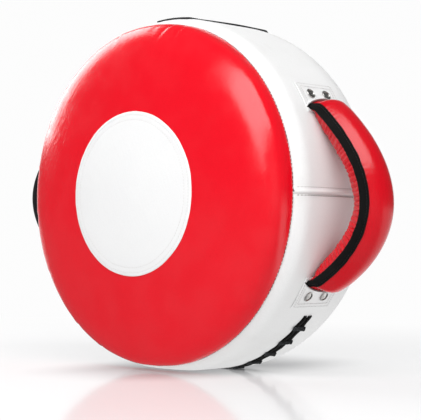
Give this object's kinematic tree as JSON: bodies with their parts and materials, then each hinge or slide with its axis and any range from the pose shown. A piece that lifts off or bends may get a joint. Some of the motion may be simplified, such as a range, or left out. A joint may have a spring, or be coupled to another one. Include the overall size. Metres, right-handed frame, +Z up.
{
  "type": "punching shield",
  "caption": "Round padded punching shield with a target patch, a padded arm strap on one side, a webbing grip on the other and a laced closure underneath.",
  "frame": {"origin": "in the flat under the drum, midway across, on the strip between the front seam and the laced closure", "axes": "+Z up; the struck face looks towards -Y and the drum's axis runs along Y; the padded arm strap is at +X and the webbing grip at -X"},
  "size_m": [0.5611, 0.2205, 0.4154],
  "materials": {
    "red_leather": "smooth semi-gloss leather",
    "white_leather": "smooth semi-gloss leather",
    "patch_leather": "smooth leather, double stitched",
    "webbing": "woven webbing",
    "binding_tape": "woven binding",
    "lace": "woven lace",
    "soft_foam": "open-cell foam",
    "firm_foam": "closed-cell foam",
    "rivet_metal": "polished"
  },
  "bodies": {
    "shield": {"front_cover": "red_leather", "target_patch": "white_leather", "side_band_upper": "white_leather", "side_band_lower": "white_leather", "back_cover": "white_leather", "arm_patch_upper": "patch_leather", "arm_patch_lower": "patch_leather", "grip_patch_upper": "patch_leather", "grip_patch_lower": "patch_leather", "top_handle": "webbing", "arm_anchor_upper": "webbing", "arm_anchor_lower": "webbing", "grip_anchor_upper": "webbing", "grip_anchor_lower": "webbing", "closure_lace": "lace", "closure_tongue": "lace", "face_foam": "soft_foam", "core_foam": "soft_foam", "shock_board": "firm_foam", "back_foam": "firm_foam", "rivet_arm_upper_front": "rivet_metal", "rivet_arm_upper_rear": "rivet_metal", "rivet_arm_lower_front": "rivet_metal", "rivet_arm_lower_rear": "rivet_metal", "rivet_grip_upper_front": "rivet_metal", "rivet_grip_upper_rear": "rivet_metal", "rivet_grip_lower_front": "rivet_metal", "rivet_grip_lower_rear": "rivet_metal", "burr_arm_upper_front": "rivet_metal", "burr_arm_upper_rear": "rivet_metal", "burr_arm_lower_front": "rivet_metal", "burr_arm_lower_rear": "rivet_metal", "burr_grip_upper_front": "rivet_metal", "burr_grip_upper_rear": "rivet_metal", "burr_grip_lower_front": "rivet_metal", "burr_grip_lower_rear": "rivet_metal"},
    "arm_strap": {"arm_strap_webbing": "webbing", "arm_strap_cover": "red_leather", "arm_strap_lining": "red_leather", "arm_strap_foam": "soft_foam", "arm_strap_inner_foam": "soft_foam", "arm_strap_binding_front": "binding_tape", "arm_strap_binding_rear": "binding_tape"},
    "hand_grip": {"grip_webbing": "webbing"}
  },
  "joints": [
    {"name": "arm_strap_swing", "type": "hinge", "parent": "shield", "child": "arm_strap", "pos_m": [0.1847, 0.03, 0.20453], "axis": [0, 0, 1], "range_deg": [-10, 10], "stiffness_Nm_per_rad": 0.3},
    {"name": "hand_grip_swing", "type": "hinge", "parent": "shield", "child": "hand_grip", "pos_m": [-0.1847, 0.03, 0.20453], "axis": [0, 0, 1], "range_deg": [-10, 10], "stiffness_Nm_per_rad": 0.1}
  ]
}
